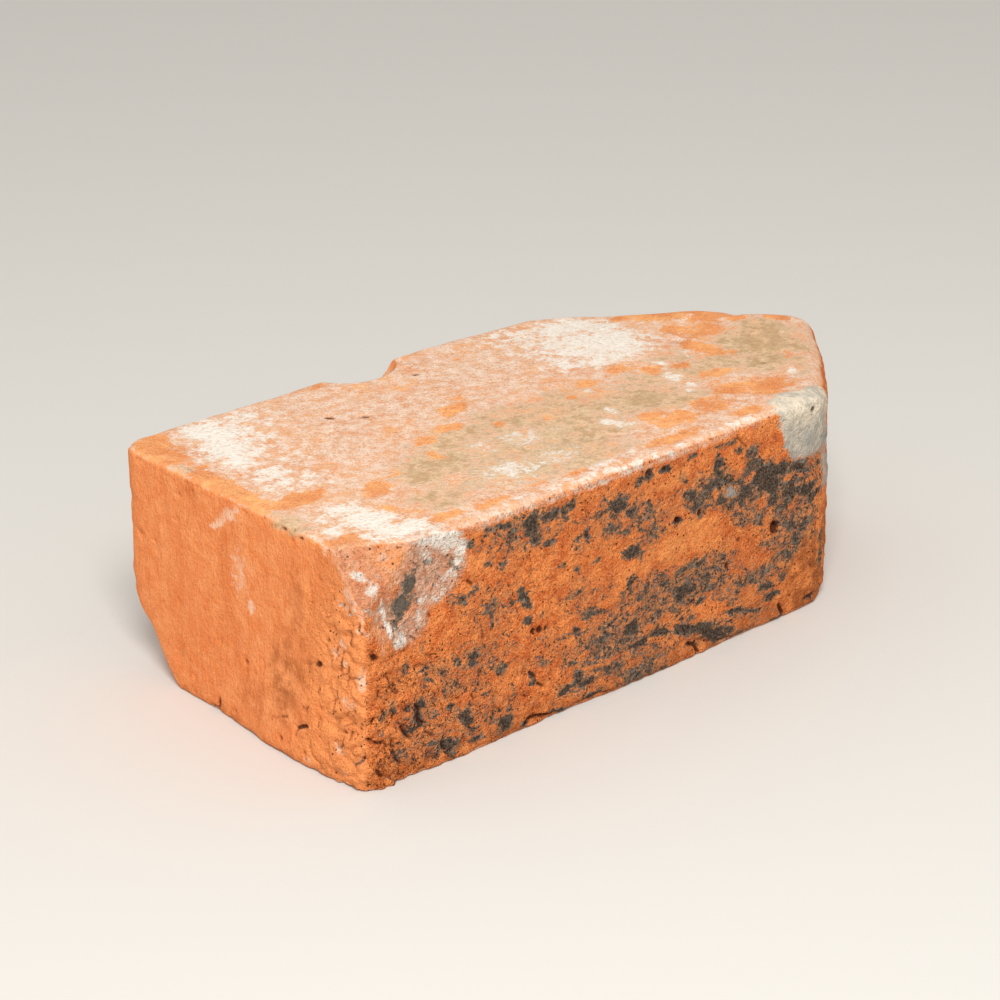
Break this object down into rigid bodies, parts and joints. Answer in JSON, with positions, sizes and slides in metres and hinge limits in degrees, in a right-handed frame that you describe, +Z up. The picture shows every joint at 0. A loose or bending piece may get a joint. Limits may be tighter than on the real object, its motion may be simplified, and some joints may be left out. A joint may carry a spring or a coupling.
{
  "type": "pointed-end clay brick",
  "caption": "Worn solid fired-clay brick with a square end and a pointed end formed by slanted faces, for turning corners and for edging in brickwork",
  "frame": {"origin": "centre of the bounding box in plan, at the underside the brick rests on", "axes": "+X along the length from the square end toward the pointed end, +Y across the width from the front long face toward the rear one, +Z up from the lower bed face to the upper one"},
  "size_m": [0.2274, 0.11, 0.069],
  "materials": {
    "fired_clay": "matt rough fired clay, orange-red, with charcoal flecks on the front face and pale lime film on the top"
  },
  "bodies": {
    "root": {"brick": "fired_clay"}
  },
  "joints": []
}
